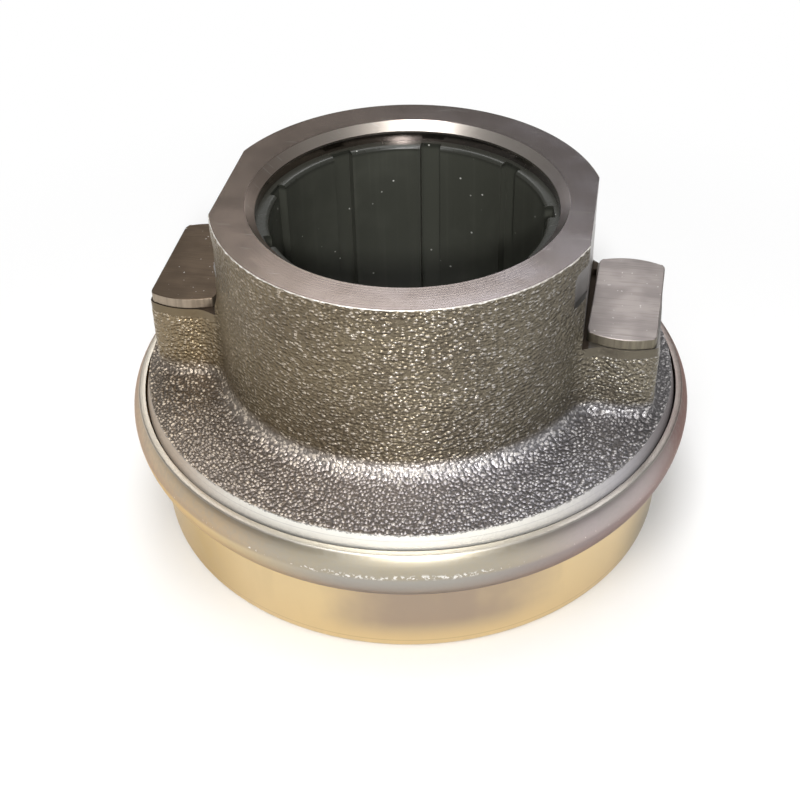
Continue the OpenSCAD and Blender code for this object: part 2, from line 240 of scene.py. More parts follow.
class BEARING_PG_ring(bpy.types.PropertyGroup):
    """Sizes and colours of the thrust ring and the rim round it"""

    taper: length("Ring taper", "Narrowing of the ring towards the thrust face", 1.1 * MM)
    edge_r: length("Ring edge", "Rounding of the lower outer edge", 1.3 * MM)
    floor_r: length("Floor radius", "Inner radius of the ring's floor", reach("front_seal") + 0.02 * MM)
    lip_r: length("Race lip", "Inner radius of the ring above the balls", 54.47 * MM)
    ball_z: length("Ball height", "Height of the ball centres", 13.02 * MM)
    pitch_r: length("Ball circle", "Radius of the circle through the ball centres", 49.66 * MM)
    race_r: length("Race radius", "Radius of the ball race", 5.12 * MM)
    cover_t: length("Cover sheet", "Thickness of the rolled cover", 1.0 * MM)
    cover_edge: length("Cover edges", "Rounding of the cut edges of the cover", 0.15 * MM)
    lip_gap: length("Running gap", "Gap between the cover's lip and the flange rim", 0.3 * MM)
    seat_gap: length("Cover seat", "Gap between the cover's skirt and the ring", 0.02 * MM)
    ridge_z: length("Ridge height", "Height of the cover's widest line", 25.94 * MM)
    straw: colour("Straw", "Straw-tinted steel of the ring", (0.7, 0.545, 0.31))
    # Painted reflection: the deeper straw on the left, the browner right and the greyer front.
    straw_deep: colour("Straw, left", "Deeper straw at the left of the ring", (0.53, 0.37, 0.14))
    straw_right: colour("Straw, right", "Browner straw at the right of the ring", (0.37, 0.3, 0.18))
    mauve: colour("Mauve", "Greyer steel at the front of the ring", (0.395, 0.31, 0.235))
    # Painted light: the shoulder's colours below follow how light falls round the cover.
    shoulder: colour("Shoulder", "Satin steel of the cover's shoulder, right side", (0.46, 0.4, 0.395))
    shoulder_warm: colour("Shoulder, left", "Warmer steel of the cover's shoulder, left side",
                          (0.54, 0.41, 0.255))
    shoulder_front: colour("Shoulder, front", "Yellower steel of the cover's shoulder, front",
                           (0.435, 0.385, 0.29))
    shoulder_left: colour("Shoulder, left end", "Paler steel at the left end of that shoulder",
                          (0.66, 0.555, 0.41))
    shoulder_end_shade: colour("Shoulder, end", "Browner steel at the right end of that shoulder",
                         (0.19, 0.125, 0.12))
    cover_edge_tint: colour("Cover, grazing", "Tint of the cover where it is seen at a low angle",
                            (0.6, 0.47, 0.44))
    skirt: colour("Skirt", "Darker steel below the cover's widest line", (0.41, 0.395, 0.36))
    # Painted light: the warmer left side of the skirt, where the light falls.
    skirt_left: colour("Skirt, left", "Warmer steel of that skirt, left side", (0.82, 0.66, 0.35))
    lip: colour("Lip", "Bright cut edge of the cover's lip", (0.9, 0.86, 0.78))
    nick: colour("Nicks", "Bright nicks along the cover's widest line", (0.9, 0.88, 0.84))


class BEARING_PG_inside(bpy.types.PropertyGroup):
    """Colours of the hidden pieces"""

    steel: colour("Bearing steel", "Ground steel of the inner ring", (0.55, 0.53, 0.5))
    ball: colour("Balls", "Polished balls", (0.75, 0.75, 0.75))
    cage: colour("Cage", "Moulded cage", (0.2, 0.17, 0.11))
    rubber: colour("Seal", "Rubber of the front seal", (0.025, 0.025, 0.025))


class BEARING_PG_stage(bpy.types.PropertyGroup):
    """Camera, light and floor"""

    focal: number("Focal length", "Focal length in millimetres", 60.23)
    azimuth: turn_angle("Azimuth", "Turn of the view to the right of the front", 10.58)
    elevation: turn_angle("Elevation", "Height of the view above the horizon", 37.75)
    roll: turn_angle("Roll", "Turn of the camera about its own axis", -0.97)
    distance: length("Distance", "Distance of the camera from its target", 304.7 * MM)
    target_z: length("Target height", "Height of the camera's target on the bore axis", 30.0 * MM)
    shift_x: number("Shift X", "Sideways shift of the frame", -0.0127)
    shift_y: number("Shift Y", "Upward shift of the frame", -0.0459)
    floor: colour("Floor", "Pale floor", (0.9, 0.9, 0.9))
    floor_near: length("Shadow floor", "Distance from the axis at which the floor starts to fade to white",
                       75 * MM)
    floor_far: length("White floor", "Distance from the axis beyond which the floor is plain white",
                      200 * MM)
    sky: colour("Room", "Soft light of the room", (0.22, 0.22, 0.22))


class BEARING_PG_settings(bpy.types.PropertyGroup):
    """All settings of the release bearing"""

    carrier: PointerProperty(type=BEARING_PG_carrier)
    bush: PointerProperty(type=BEARING_PG_bush)
    pads: PointerProperty(type=BEARING_PG_pads)
    ring: PointerProperty(type=BEARING_PG_ring)
    inside: PointerProperty(type=BEARING_PG_inside)
    stage: PointerProperty(type=BEARING_PG_stage)


class Value:
    """A shader value: maths on it adds Math nodes to its tree."""

    def __init__(self, nodes, socket):
        self.nodes = nodes
        self.socket = socket

    def __add__(self, other):
        return self.nodes.math("ADD", self, other)

    def __radd__(self, other):
        return self.nodes.math("ADD", other, self)

    def __sub__(self, other):
        return self.nodes.math("SUBTRACT", self, other)

    def __rsub__(self, other):
        return self.nodes.math("SUBTRACT", other, self)

    def __mul__(self, other):
        return self.nodes.math("MULTIPLY", self, other)

    def __rmul__(self, other):
        return self.nodes.math("MULTIPLY", other, self)

    def __truediv__(self, other):
        return self.nodes.math("DIVIDE", self, other)

    def __rtruediv__(self, other):
        return self.nodes.math("DIVIDE", other, self)

    def __pow__(self, other):
        return self.nodes.math("POWER", self, other)

    def __abs__(self):
        return self.nodes.math("ABSOLUTE", self, 0.0)


class Nodes:
    """A node tree and the few ways in which its nodes are made."""

    def __init__(self, tree):
        self.tree = tree

    def node(self, kind, settings=None, inputs=None, out=0):
        """Adds a node of a kind, with its settings and then its sockets, and gives one of its outputs."""
        made = self.tree.nodes.new(kind)
        for name, value in (settings or {}).items():
            setattr(made, name, value)
        for key, value in (inputs or {}).items():
            if isinstance(value, Value):
                self.link(value, made.inputs[key])
            else:
                made.inputs[key].default_value = value
        return Value(self, made.outputs[out])

    def link(self, value, socket):
        """Feeds a socket of any node."""
        self.tree.links.new(value.socket, socket)

    def math(self, operation, a, b):
        """One Math node."""
        return self.node("ShaderNodeMath", {"operation": operation}, {0: a, 1: b})

    def part(self, vector, axis):
        """One coordinate of a vector."""
        return self.node("ShaderNodeSeparateXYZ", None, {"Vector": vector}, axis)

    def step(self, value, start, end):
        """A smooth step from 0 at start to 1 at end."""
        return self.node("ShaderNodeMapRange", {"interpolation_type": "SMOOTHSTEP"},
                         {"Value": value, "From Min": start, "From Max": end})

    def near(self, value, middle, half):
        """1 where a value is at middle, and 0 further than half from it."""
        return self.step(abs(value - middle), half, 0.0)

    def mix(self, factor, a, b, blend="MIX"):
        """A mix of two colours."""
        ready = {k: v if isinstance(v, Value) else (*v, 1.0) for k, v in {6: a, 7: b}.items()}
        return self.node("ShaderNodeMix", {"data_type": "RGBA", "blend_type": blend},
                         {0: factor, **ready}, 2)


class Finish(Nodes):
    """A material, its shader and the places on the surface that its colours follow."""

    def __init__(self, name, **constants):
        self.material = bpy.data.materials.new(name)
        self.material.use_nodes = True
        super().__init__(self.material.node_tree)
        self.shader = self.tree.nodes["Principled BSDF"]
        for socket, value in constants.items():
            self.shader.inputs[socket.replace("_", " ")].default_value = value
        self.point = self.node("ShaderNodeTexCoord", out="Object")
        self.x, self.y, self.z = (self.part(self.point, axis) for axis in "XYZ")
        self.radius = (self.x * self.x + self.y * self.y) ** 0.5

    def facing(self, x, y):
        """How squarely a point lies in a direction from the bore axis."""
        return (self.x * x + self.y * y) / self.radius

    def across(self, half):
        """0 on the left and 1 on the right, with the change within a distance of the middle."""
        return self.step(self.x, -half, half)

    def stretched(self, cells):
        """The surface point in cells of three sizes in millimetres."""
        scale = tuple(1 / (size * MM) for size in cells)
        return self.node("ShaderNodeMapping", None, {"Vector": self.point, "Scale": scale})

    def noise(self, size, detail=2.0, rough=0.5, vector=None):
        """Cloudy noise with features of a size in metres."""
        return self.node("ShaderNodeTexNoise", None, {
            "Vector": vector or self.point,
            "Scale": 1 / size,
            "Detail": detail,
            "Roughness": rough,
        })

    def streaks(self, cells, detail, rough):
        """Noise drawn out to cells of three sizes in millimetres."""
        return self.noise(1.0, detail, rough, self.stretched(cells))

    def rings(self, size, along):
        """Fine uneven lines of a size along one value, such as the marks that a lathe leaves."""
        line = self.node("ShaderNodeCombineXYZ", None, {"X": along})
        return self.noise(size, 3.0, 0.6, line)

    def flecks(self, cells):
        """Distance from the nearest of many scattered flecks, and a random number of that fleck's own."""
        inputs = {"Vector": self.stretched(cells), "Scale": 1.0, "Randomness": 1.0}
        distance = self.node("ShaderNodeTexVoronoi", None, inputs, "Distance")
        own = self.node("ShaderNodeTexVoronoi", None, inputs, "Color")
        return distance, self.node("ShaderNodeSeparateColor", None, {"Color": own})

    def feed(self, socket, value):
        """Feeds one of the shader's sockets."""
        self.link(value, self.shader.inputs[socket])

    def bump(self, height, distance, strength=1.0):
        """Feeds the shader's normal from a height."""
        inputs = {"Height": height, "Distance": distance, "Strength": strength}
        self.feed("Normal", self.node("ShaderNodeBump", None, inputs, "Normal"))


def cast_skin(sizes):
    """Shot-blasted cast iron: a rough dark skin whose grains carry painted glints, and a smooth band round
    each lug.
    """
    band_z = low("wear_pad_right") - sizes.band_h
    foot_z = sizes.flange_edge_z + sizes.flange_rise
    skin = Finish("cast_skin")
    fine = skin.noise(0.5 * MM, 2.0, 0.6)
    lumps = skin.noise(1.3 * MM, 2.0)
    patches = skin.noise(14 * MM, 2.0)
    dashes, dash_pick = skin.flecks((1.0, 1.0, 0.62))
    dots, dot_pick = skin.flecks((0.82, 0.82, 0.7))
    on_lug = skin.step(abs(skin.x), sizes.flat_x, sizes.flat_x + 1.0 * MM)
    uneven = skin.z + (patches - 0.5) * 0.8 * MM + (lumps - 0.5) * 0.9 * MM
    band = skin.step(uneven, band_z - 0.15 * MM, band_z + 0.15 * MM) * on_lug
    # Painted glint: a broken bright line along the top of the band round each lug.
    edge = skin.near(uneven, band_z, 0.2 * MM) * on_lug * skin.step(fine, 0.5, 0.6)
    low_down = skin.step(skin.z, foot_z + 4 * MM, foot_z + 0.2 * MM)
    facing = skin.facing(0.1, -1.0)
    front = skin.step(facing + (patches - 0.5) * 0.3, 0.3, 1.0)
    # Painted highlight: a pale band along the front-facing fillets at the foot of the collar and lugs.
    foot = skin.near(skin.z, foot_z + 1.4 * MM, 1.6 * MM) * skin.step(facing, 0.0, 0.6)
    round_grain = 1 - (1 - low_down) * (1 - on_lug)
    pick = dash_pick + (dot_pick - dash_pick) * round_grain
    uneven_grain = (fine - 0.5) * 0.9 + (lumps - 0.5) * 0.4
    apart = dashes + (dots - dashes) * round_grain + uneven_grain - foot * 0.2
    # The grain tips are real; their bright colour is painted glint, strongest at the front, on the lugs and
    # the flange.
    tips = skin.step(apart + (1 - pick) * 0.25, 0.52, 0.26) * (1 - band)
    left_lug = on_lug * skin.step(skin.x, 40 * MM, -40 * MM)
    bright = 0.15 + front * (0.5 - low_down * 0.2) + on_lug * 0.15 + left_lug * 0.2 + low_down * 0.25
    bright = bright * (0.35 + pick * 0.65) + foot * 0.1
    tone = skin.mix(skin.step(patches, 0.3, 0.7), sizes.dark, sizes.skin)
    # Painted light: the left lug is made paler, as it catches more of the light.
    tone = skin.mix(left_lug * 0.3, tone, sizes.lug)
    tone = skin.mix(band * 0.5, tone, shade(sizes.dark, 0.6))
    # Painted light: the flange face is greyed as if under cool light, and made paler towards the front,
    # where the light falls.
    tone = skin.mix(low_down * 0.8, tone, sizes.flange)
    tone = skin.mix(low_down * front, tone, shade(sizes.flange, 1.8))
    tone = skin.mix(foot * 0.3, tone, sizes.foot)
    rim_r = reach("carrier_sleeve") - sizes.bevel_w
    # The torn skin at the flange rim is real; its bright colour, stronger at the front, is painted
    # highlight.
    torn = skin.step(skin.radius + (fine - 0.5) * 2.4 * MM, rim_r - 0.5 * MM, rim_r + 0.2 * MM)
    tone = skin.mix(tips * bright + edge * 0.4 + torn * (0.15 + front * 0.5), tone, sizes.glint)
    # Painted light: the whole skin is tinted warm on the left and cool on the right, as the light falls.
    tint = skin.mix(skin.across(45 * MM), sizes.tint_left, sizes.tint_right)
    skin.feed("Base Color", skin.mix(1.0, tone, tint, "MULTIPLY"))
    skin.feed("Metallic", 0.9 - tips * (0.3 + low_down * 0.4))
    skin.feed("Roughness", 0.36 - tips * 0.1)
    skin.bump((fine * 0.6 - apart + lumps * 0.3) * (1 - band * 0.92) * (1 - low_down * 0.2), 0.4 * MM)
    return skin.material


def turned_iron(sizes):
    """Lathe-turned iron: fine rings round the bore axis, a few scratches and faint stains, with painted
    warm and cool light.
    """
    iron = Finish("turned_iron", Metallic=1.0)
    rings = iron.rings(0.28 * MM, iron.radius + iron.z)
    stains = iron.noise(9 * MM, 3.0)
    scratch = iron.step(iron.streaks((9, 0.5, 4), 1.0, 0.5), 0.73, 0.77)
    depth = high("carrier_sleeve") - iron.z
    mouth = iron.step(depth, 0.03 * MM, 0.2 * MM) * iron.step(depth, 2.6 * MM, 2.2 * MM)
    # Painted light: warm on the left and cool on the right, as the light falls.
    tone = iron.mix(iron.across(40 * MM), sizes.turned, sizes.turned_cool)
    tone = iron.mix(iron.step(stains, 0.6, 0.35) * 0.3, tone, shade(sizes.turned, 0.7))
    tone = iron.mix(iron.step(rings, 0.5, 0.3) * 0.3, tone, shade(sizes.turned, 0.6))
    # Painted highlight: the mouth chamfer is lightened towards the back of the bore, where the light
    # catches it.
    tone = iron.mix(mouth * iron.step(iron.y / iron.radius, 0.0, 0.9) * 0.6, tone, sizes.mouth)
    iron.feed("Base Color", iron.mix(scratch * 0.5, tone, sizes.scratch))
    iron.feed("Roughness", 0.14 + stains * 0.09 + mouth * 0.12)
    iron.bump(rings, 0.02 * MM, 0.7)
    return iron.material


def rim_iron(sizes):
    """Cut bevel at the flange edge, frosted along its length, with a painted highlight at its front and
    painted light and shade on its sides.
    """
    iron = Finish("rim_iron")
    rings = iron.rings(0.35 * MM, iron.z)
    frost = iron.noise(0.7 * MM, 2.0)
    facing = iron.facing(0.1, -1.0)
    # Painted light: warm on the left, cool on the right and shaded at the right end.
    side = iron.mix(iron.across(50 * MM), sizes.rim_left, sizes.rim_right)
    side = iron.mix(iron.step(iron.x / iron.radius, 0.8, 1.0), side, sizes.rim_end_shade)
    # Painted highlight: the bevel's front is made bright, where it reflects the light.
    bright = iron.step(facing + (frost - 0.5) * 0.1, 0.62, 0.97)
    tone = iron.mix(bright, side, sizes.rim)
    tone = iron.mix(iron.step(rings, 0.5, 0.3) * 0.3, tone, shade(sizes.rim_right, 0.6))
    edge_z = sizes.flange_edge_z
    torn = iron.step(iron.z + (frost - 0.5) * 1.6 * MM, edge_z - 0.3 * MM, edge_z)
    iron.feed("Base Color", iron.mix(torn * 0.8, tone, sizes.flange))
    iron.feed("Metallic", 0.3 + bright * 0.7)
    iron.feed("Roughness", 0.62 - bright * 0.14 + frost * 0.16)
    iron.bump(rings + frost * 0.5, 0.03 * MM, 0.7)
    return iron.material


def burr_iron(sizes):
    """Bright torn metal at the collar's top edge."""
    burr = Finish("burr_iron", Metallic=0.5)
    torn = burr.noise(0.7 * MM, 2.0)
    burr.feed("Base Color", burr.mix(burr.step(torn, 0.4, 0.6), sizes.burr, sizes.burr_pale))
    burr.feed("Roughness", 0.35 + torn * 0.2)
    burr.bump(torn, 0.1 * MM)
    return burr.material


def milled_iron(sizes):
    """Milled iron of the flats, corner notches and slots, with painted shade in the slots and under the
    left pad.
    """
    iron = Finish("milled_iron", Metallic=1.0)
    lines = iron.streaks((6, 6, 0.3), 3.0, 0.6)
    stains = iron.noise(6 * MM, 3.0)
    tone = iron.mix(iron.step(stains, 0.3, 0.7), shade(sizes.milled, 0.8), sizes.milled)
    tone = iron.mix(iron.step(lines, 0.45, 0.3) * 0.4, tone, shade(sizes.milled, 0.55))
    slot_x = sizes.flat_x + sizes.slot_w
    beside = 1 - (1 - iron.step(abs(iron.x), slot_x + 0.5 * MM, slot_x)) * iron.step(iron.x, -1 * MM, 0)
    # Painted shade: darker in the slots and, on the left, along the seat under the pad, where shadow falls.
    slot_shade = iron.step(iron.z, high("wear_pad_right"), low("wear_pad_right")) * beside
    iron.feed("Base Color", iron.mix(slot_shade, tone, sizes.slot_shade))
    iron.feed("Roughness", 0.3 + stains * 0.15 + slot_shade * 0.25)
    iron.bump(lines, 0.04 * MM, 0.6)
    return iron.material


def pad_steel(sizes, side, top_z):
    """Milled wear-pad steel: cutter lines across the top, darker streaks, small flecks and duller sides."""
    tone = getattr(sizes, side)
    side_tone = getattr(sizes, side + "_side")
    steel = Finish("pad_steel_" + side, Metallic=1.0)
    lines = steel.streaks((14, 0.32, 14), 3.0, 0.6)
    streaks = steel.streaks((9, 1.6, 14), 2.0, 0.5)
    drawn = steel.streaks((0.7, 0.7, 9), 2.0, 0.5)
    flecks = steel.step(steel.noise(0.9 * MM, 1.0), 0.73, 0.77)
    top = steel.step(steel.z, top_z - 0.2 * MM, top_z - 0.04 * MM)
    clouds = steel.noise(7 * MM, 2.0)
    marked = steel.mix(steel.step(clouds, 0.35, 0.65), shade(tone, 0.85), shade(tone, 1.12))
    marked = steel.mix(steel.step(lines, 0.5, 0.3) * 0.5, marked, shade(tone, 0.62))
    marked = steel.mix(steel.step(streaks, 0.45, 0.3) * 0.4, marked, shade(tone, 0.7))
    marked = steel.mix(flecks * 0.6, marked, sizes.fleck)
    walls = steel.mix(steel.step(drawn, 0.35, 0.65), shade(side_tone, 0.75), side_tone)
    steel.feed("Base Color", steel.mix(top, walls, marked))
    steel.feed("Roughness", 0.44 - top * 0.1 + lines * 0.1)
    steel.bump(lines * top + drawn * (1 - top), 0.04 * MM, 0.7)
    return steel.material


def bush_plastic(sizes):
    """Black moulded plastic with faint drawn streaks and pale dust, glossier at its end, with painted light
    and shade.
    """
    top = high("guide_bush")
    plastic = Finish("bush_plastic")
    streaks = plastic.streaks((1.6, 1.6, 60), 3.0, 0.6)
    smears = plastic.noise(12 * MM, 3.0)
    apart, pick = plastic.flecks((2.6, 2.6, 2.6))
    speck = plastic.step(apart + (smears - 0.5) * 0.1, 0.1, 0.06) * plastic.step(pick, 0.7, 0.74)
    end = plastic.step(plastic.z, top - 1.6 * MM, top - 0.6 * MM)
    half = sizes.groove_depth / 2
    middle = sizes.bore_r + half
    # Painted light: the groove walls and floors are lightened against the shade that falls in the grooves.
    walls = plastic.near(plastic.radius, middle, half - 0.05 * MM) * (1 - end)
    painted_floor_light = plastic.step(plastic.radius, middle, middle + half - 0.1 * MM) * (1 - end)
    worn = plastic.step(streaks, 0.5, 0.7) * 0.3 + plastic.step(smears, 0.45, 0.7) * 0.5
    tone = plastic.mix(worn, sizes.tone, shade(sizes.tone, 1.5))
    tone = plastic.mix(plastic.step(walls, 0.0, 0.3), tone, shade(sizes.tone, 1.25))
    tone = plastic.mix(painted_floor_light, tone, shade(sizes.tone, 1.2))
    # Painted shade: the end face and lead-in are darkened, as if little light reached them.
    tone = plastic.mix(end * 0.8, tone, shade(sizes.tone, 0.5))
    plastic.feed("Base Color", plastic.mix(speck, tone, sizes.speck))
    plastic.feed("Roughness", 0.3 + smears * 0.15 - end * 0.1 + speck * 0.2)
    plastic.bump(streaks, 0.02 * MM, 0.5)
    return plastic.material


def ring_steel(sizes):
    """Satin steel with a straw tint, faint smears and fine ground rings; its grey front and deeper, browner
    sides are painted reflection.
    """
    steel = Finish("thrust_ring_steel", Metallic=1.0)
    rings = steel.rings(0.35 * MM, steel.z)
    clouds = steel.noise(16 * MM, 3.0, 0.55)
    smears = steel.streaks((7, 7, 30), 2.0, 0.5)
    # Painted reflection: the ring's colour changes round it with what it reflects, greyest at the front.
    facing = steel.facing(0.29, -0.956)
    rise = steel.step(steel.z, 2 * MM, 9 * MM)
    front_reflection = steel.step(facing + (clouds - 0.5) * 0.08 + (smears - 0.5) * 0.05, 0.89, 1.0) * rise
    deep = steel.mix(steel.across(20 * MM), sizes.straw_deep, sizes.straw_right)
    tone = steel.mix(steel.step(facing, 0.78, 0.5), sizes.straw, deep)
    tone = steel.mix(front_reflection, tone, sizes.mauve)
    tone = steel.mix(steel.step(smears, 0.5, 0.68) * rise * 0.2, tone, shade(sizes.straw, 0.75))
    line = steel.near(steel.z, 2.2 * MM, 0.25 * MM)
    steel.feed("Base Color", steel.mix(line * 0.35, tone, shade(sizes.straw, 0.5)))
    steel.feed("Roughness", 0.28 + clouds * 0.14)
    steel.bump(rings, 0.02 * MM, 0.6)
    return steel.material


def cover_steel(sizes):
    """Rolled sheet steel: a frosted shoulder, nicks along its widest line and a darker skirt, with painted
    light round it.
    """
    steel = Finish("cover_steel", Metallic=1.0, Specular_Tint=(*sizes.cover_edge_tint, 1.0))
    rings = steel.rings(0.3 * MM, steel.z + steel.radius)
    frost = steel.noise(0.9 * MM, 2.0)
    clouds = steel.noise(14 * MM, 3.0)
    waves = steel.noise(4 * MM, 1.0)
    chips = steel.noise(0.8 * MM, 2.0, 0.6)
    ridge = steel.near(steel.z + (waves - 0.5) * 1.6 * MM, sizes.ridge_z, 0.8 * MM)
    facing = steel.facing(0.15, -1.0)
    # The nicks are real; laying more of them at the front, where they catch the light, is painted glint.
    worn = steel.step(facing + (clouds - 0.5) * 0.2, 0.93, 1.02)
    nicks = steel.step(chips + worn * 0.16, 0.65, 0.71) * ridge
    below = steel.step(steel.z, sizes.ridge_z, sizes.ridge_z - 1.2 * MM)
    # Painted light: warm on the left, cool on the right, the highlight's colour at the front, pale at the
    # left end, shade at the right end.
    side = steel.mix(steel.across(50 * MM), sizes.shoulder_warm, sizes.shoulder)
    side = steel.mix(steel.step(facing, 0.8, 1.0), side, sizes.shoulder_front)
    end = steel.step(steel.facing(0.996, 0.087), 0.8, 1.0)
    side = steel.mix(end, side, sizes.shoulder_end_shade)
    side = steel.mix(steel.step(steel.x / steel.radius, -0.5, -0.95), side, sizes.shoulder_left)
    dull = steel.step(frost, 0.35, 0.65) * 0.2 + steel.step(clouds, 0.4, 0.7) * 0.2
    tone = steel.mix(dull, side, sizes.skirt)
    # Painted light: the skirt is warmer on the left and darker on the right, as light falls.
    skirt = steel.mix(steel.step(steel.x, 0.0, -45 * MM), sizes.skirt, sizes.skirt_left)
    skirt = steel.mix(steel.step(steel.x, 15 * MM, 50 * MM), skirt, shade(sizes.shoulder, 0.74))
    tone = steel.mix(below, tone, skirt)
    foot = steel.near(steel.z, low("dust_cover") + 0.1 * MM, 0.5 * MM)
    tone = steel.mix(foot * 0.6, tone, sizes.shoulder)
    top = high("dust_cover")
    lip = steel.step(steel.z, top - 0.35 * MM, top - 0.15 * MM)
    # Painted shade: the lip's bright line is dimmed at the right end.
    tone = steel.mix(lip * (0.5 - end * 0.35), tone, sizes.lip)
    steel.feed("Base Color", steel.mix(nicks, tone, sizes.nick))
    steel.feed("Roughness", 0.3 + frost * 0.16 + nicks * 0.2)
    steel.bump(rings + frost * 0.6 + nicks * 3.0, 0.03 * MM, 0.7)
    return steel.material


def ground_steel(name, tone, rough):
    """Ground or polished bearing steel."""
    steel = Finish(name, Metallic=1.0)
    rings = steel.rings(0.3 * MM, steel.z)
    steel.feed("Base Color", steel.mix(steel.step(rings, 0.5, 0.3) * 0.4, tone, shade(tone, 0.7)))
    steel.feed("Roughness", rough + rings * 0.1)
    return steel.material


def moulded(name, tone, rough):
    """Moulded plastic or rubber with a fine uneven skin."""
    skin = Finish(name)
    grain = skin.noise(0.6 * MM, 2.0)
    skin.feed("Base Color", skin.mix(skin.step(grain, 0.4, 0.65), tone, shade(tone, 1.5)))
    skin.feed("Roughness", rough + grain * 0.15)
    skin.bump(grain, 0.05 * MM, 0.5)
    return skin.material


def outline(points):
    """A closed wire through points of (radius, height): its bmesh and its vertices."""
    bm = bmesh.new()
    verts = [bm.verts.new((r, 0.0, z)) for r, z in points]
    for a, b in zip(verts, verts[1:] + verts[:1]):
        bm.edges.new((a, b))
    return bm, verts


def bevel(bm, geom, offset, segments, affect="EDGES"):
    """Rounds edges, or the vertices of a wire."""
    bmesh.ops.bevel(bm, geom=geom, offset=offset, offset_type="OFFSET", segments=segments, profile=0.5,
                    affect=affect, material=-1)


def round_corners(bm, verts, radius, segments=5):
    """Rounds corners of a wire."""
    bevel(bm, verts, radius, segments, "VERTICES")


def swing(bm, start, centre, axis, angle, steps):
    """Swings a vertex round a centre into a row of edges, and gives the last vertex."""
    swung = bmesh.ops.spin(bm, geom=[start], cent=centre, axis=axis, dvec=(0, 0, 0), angle=angle,
                           steps=steps)
    return next(item for item in swung["geom_last"] if isinstance(item, bmesh.types.BMVert))


def turn(bm, steps=STEPS):
    """Turns a wire once round the bore axis into a closed skin."""
    bmesh.ops.spin(bm, geom=bm.verts[:] + bm.edges[:], cent=(0, 0, 0), axis=(0, 0, 1), dvec=(0, 0, 0),
                   angle=math.tau, steps=steps, use_merge=True)
    bmesh.ops.remove_doubles(bm, verts=bm.verts[:], dist=WELD)
    bmesh.ops.recalc_face_normals(bm, faces=bm.faces[:])
    return bm


def extrude(bm, face, vec):
    """Extrudes one flat face along a vector into a closed prism."""
    grown = bmesh.ops.extrude_face_region(bm, geom=[face], use_keep_orig=True)["geom"]
    moved = [item for item in grown if isinstance(item, bmesh.types.BMVert)]
    bmesh.ops.translate(bm, verts=moved, vec=vec)


def prism(bm, points, height, base):
    """A closed prism on an outline in the XY plane, standing at a height."""
    verts = [bm.verts.new((x, y, base)) for x, y in points]
    extrude(bm, bm.faces.new(verts), (0, 0, height))


def join(bm, part):
    """Adds a second bmesh to the first and frees the second."""
    mesh = bpy.data.meshes.new("part")
    part.to_mesh(mesh)
    part.free()
    bm.from_mesh(mesh)
    bpy.data.meshes.remove(mesh)


def slab(bm, radius, near, far, height, base, steps=128):
    """A closed prism whose plan is a circle cut by two planes across X."""
    made = bmesh.ops.create_circle(bm, cap_ends=True, segments=steps, radius=radius)["verts"]
    face = next(iter(made[0].link_faces))
    for place, side in ((near, -1), (far, 1)):
        geom = [face, *face.edges, *face.verts]
        bmesh.ops.bisect_plane(bm, geom=geom, dist=HAIR, plane_co=(place, 0, 0), plane_no=(side, 0, 0),
                               clear_outer=True)
        flat = [f for f in bm.faces if len(f.verts) > 4 and abs(f.normal.z) > 0.9]
        face = max(flat, key=lambda f: f.index)
    bmesh.ops.translate(bm, verts=face.verts[:], vec=(0, 0, base))
    extrude(bm, face, (0, 0, height))


def make_object(name, bm, materials=()):
    """An object at the origin that holds a bmesh."""
    mesh = bpy.data.meshes.new(name)
    bm.to_mesh(mesh)
    bm.free()
    for material in materials:
        mesh.materials.append(material)
    made = bpy.data.objects.new(name, mesh)
    bpy.context.scene.collection.objects.link(made)
    return made


def apply_modifiers(made, *tools):
    """Puts an object's modifiers into its mesh, and removes the tools that they used."""
    graph = bpy.context.evaluated_depsgraph_get()
    finished = bpy.data.meshes.new_from_object(made.evaluated_get(graph))
    made.modifiers.clear()
    made.data = finished
    for tool in tools:
        bpy.data.objects.remove(tool)


def cut(made, tool, operation):
    """Adds a Boolean with a tool."""
    modifier = made.modifiers.new(tool.name, "BOOLEAN")
    modifier.operation = operation
    modifier.solver = "EXACT"
    modifier.object = tool


def dress(made, body, slot, *nodes, angle=SMOOTH_ANGLE):
    """Shades a finished piece, lets it ride on its body and stands it in for CAD nodes."""
    made.data.shade_smooth()
    made.data.set_sharp_from_angle(angle=angle)
    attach(made, body)
    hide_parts(*nodes)


